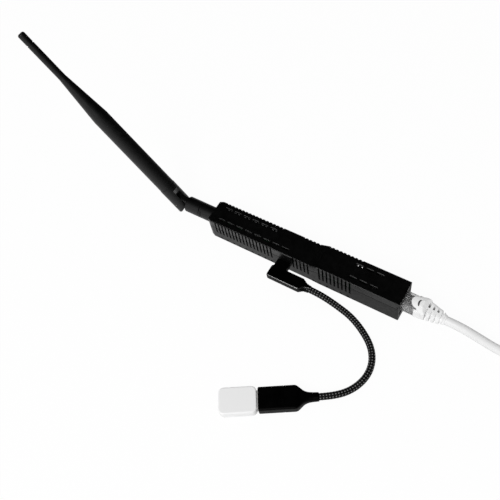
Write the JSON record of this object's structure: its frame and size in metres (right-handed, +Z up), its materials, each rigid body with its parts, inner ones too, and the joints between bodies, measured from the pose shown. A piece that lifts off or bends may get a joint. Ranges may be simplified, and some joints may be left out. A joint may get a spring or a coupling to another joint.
{
  "type": "smart home usb radio stick",
  "caption": "Long slotted black radio stick with a tilting antenna, a side USB-C plug and capped USB lead, and a white network lead in its end socket.",
  "frame": {"origin": "middle of the case's flat underside, half way along the case", "axes": "+X along the stick from the antenna to the network socket, +Z up from the underside, the USB-C socket faces -Y"},
  "size_m": [0.4319, 0.2101, 0.1409],
  "materials": {
    "case_plastic": "fine spark-eroded matte",
    "antenna_plastic": "smooth satin",
    "steel": "plated",
    "circuit_board": "solder mask",
    "tinned_sheet": "tinned sheet",
    "black_resin": "moulded resin",
    "can_aluminium": "drawn can",
    "gilt_brass": "gold flash",
    "white_insulator": "turned",
    "copper_core": "drawn tube and wire",
    "plug_plastic": "smooth satin overmould",
    "braided_cord": "fine nylon braid",
    "cap_plastic": "milky clear",
    "clear_plastic": "clear",
    "white_boot": "soft moulded",
    "white_cable": "smooth jacket"
  },
  "bodies": {
    "root": {"lower_shell": "case_plastic", "top_cover": "case_plastic", "coupling_sleeve": "antenna_plastic", "case_screws": "steel", "main_board": "circuit_board", "radio_module": "circuit_board", "processor_module": "circuit_board", "radio_shield": "tinned_sheet", "processor_shield": "tinned_sheet", "network_socket_shell": "tinned_sheet", "usb_socket_shell": "tinned_sheet", "angle_plug_shell": "tinned_sheet", "usb_a_shell": "tinned_sheet", "network_chip": "black_resin", "power_transformer": "black_resin", "power_inductor": "black_resin", "network_socket_body": "black_resin", "usb_socket_tongue": "black_resin", "capacitors": "can_aluminium", "network_socket_contacts": "gilt_brass", "antenna_jack": "gilt_brass", "coupling_nut": "gilt_brass", "network_plug_blades": "gilt_brass", "far_plug_blades": "gilt_brass", "antenna_jack_core": "white_insulator", "coupling_pin": "white_insulator", "usb_a_tongue": "white_insulator", "angle_plug": "plug_plastic", "usb_plug_front": "plug_plastic", "usb_plug_boot": "plug_plastic", "usb_cord": "braided_cord", "network_plug": "clear_plastic", "far_plug": "clear_plastic", "network_boot": "white_boot", "far_boot": "white_boot", "network_cable": "white_cable", "network_cable_coil": "white_cable", "network_cable_tail": "white_cable"},
    "swivel": {"swivel_barrel": "antenna_plastic"},
    "antenna": {"antenna_fork": "antenna_plastic", "hinge_pin": "steel", "antenna_sleeve": "antenna_plastic", "antenna_tip": "antenna_plastic", "antenna_core": "copper_core"},
    "cap": {"usb_cap": "cap_plastic"}
  },
  "joints": [
    {"name": "antenna_swivel", "type": "hinge", "parent": "root", "child": "swivel", "pos_m": [-0.0874, 0, 0.013], "axis": [1, 0, 0], "continuous": true},
    {"name": "antenna_tilt", "type": "hinge", "parent": "swivel", "child": "antenna", "pos_m": [-0.1075, 0, 0.013], "axis": [0, 1, 0], "range_deg": [-53, 37]},
    {"name": "cap_pull", "type": "slide", "parent": "root", "child": "cap", "axis": [-0.8434, -0.5373, 0], "range_m": [0, 0.025]}
  ]
}
